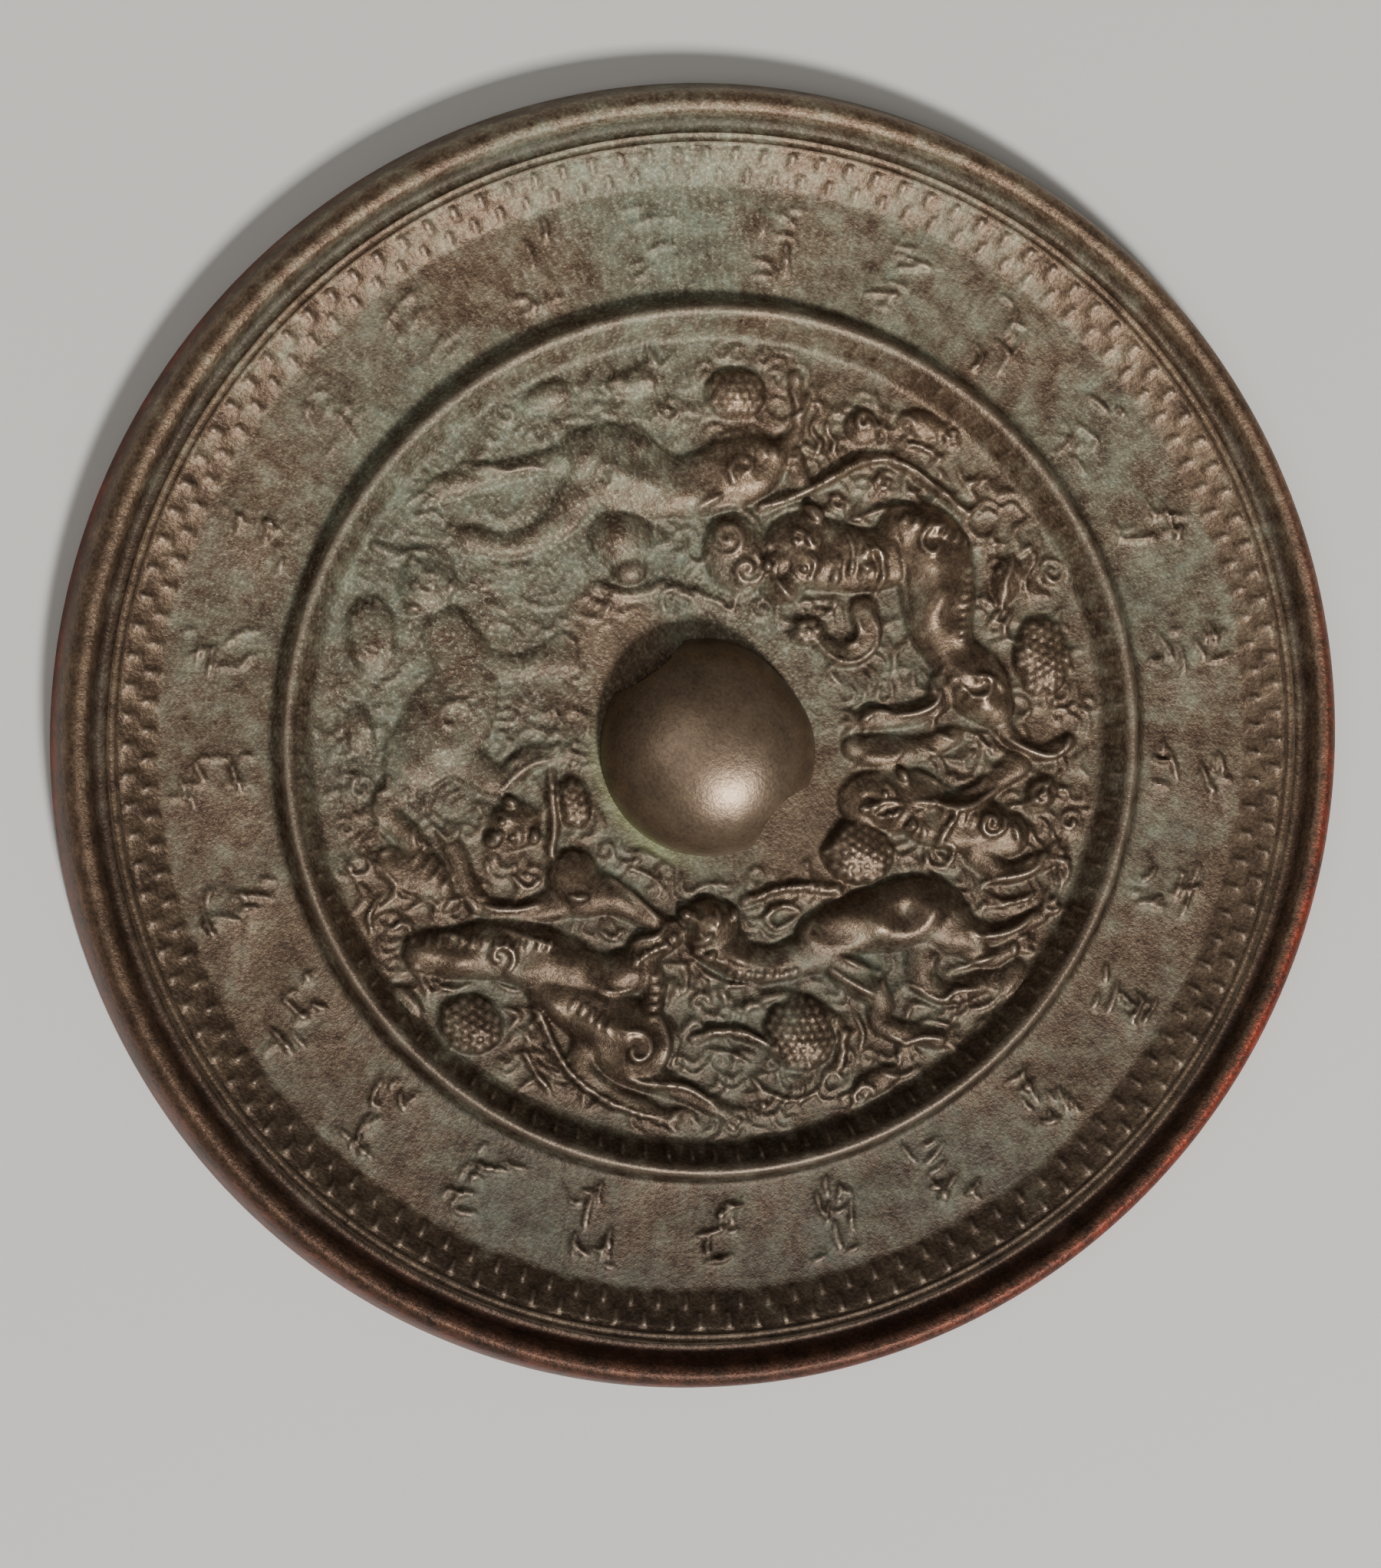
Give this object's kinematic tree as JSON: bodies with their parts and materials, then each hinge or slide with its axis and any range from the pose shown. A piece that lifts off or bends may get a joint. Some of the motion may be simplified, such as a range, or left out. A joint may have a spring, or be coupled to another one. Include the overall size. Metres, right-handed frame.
{
  "type": "ancient bronze mirror",
  "caption": "Round cast bronze mirror; its back has a domed cord knob, crouching beasts among vines and grapes, an inscription band and a raised rim.",
  "frame": {"origin": "centre of the polished face, which the mirror lies on", "axes": "+Z through the worked back, +X along the cord channel of the knob"},
  "size_m": [0.186, 0.186, 0.015],
  "materials": {
    "bronze": "cast high-tin bronze with brown and grey-green patina, worn smooth on the high relief"
  },
  "bodies": {
    "root": {"mirror_plate": "bronze", "knob_and_seat": "bronze"}
  },
  "joints": []
}
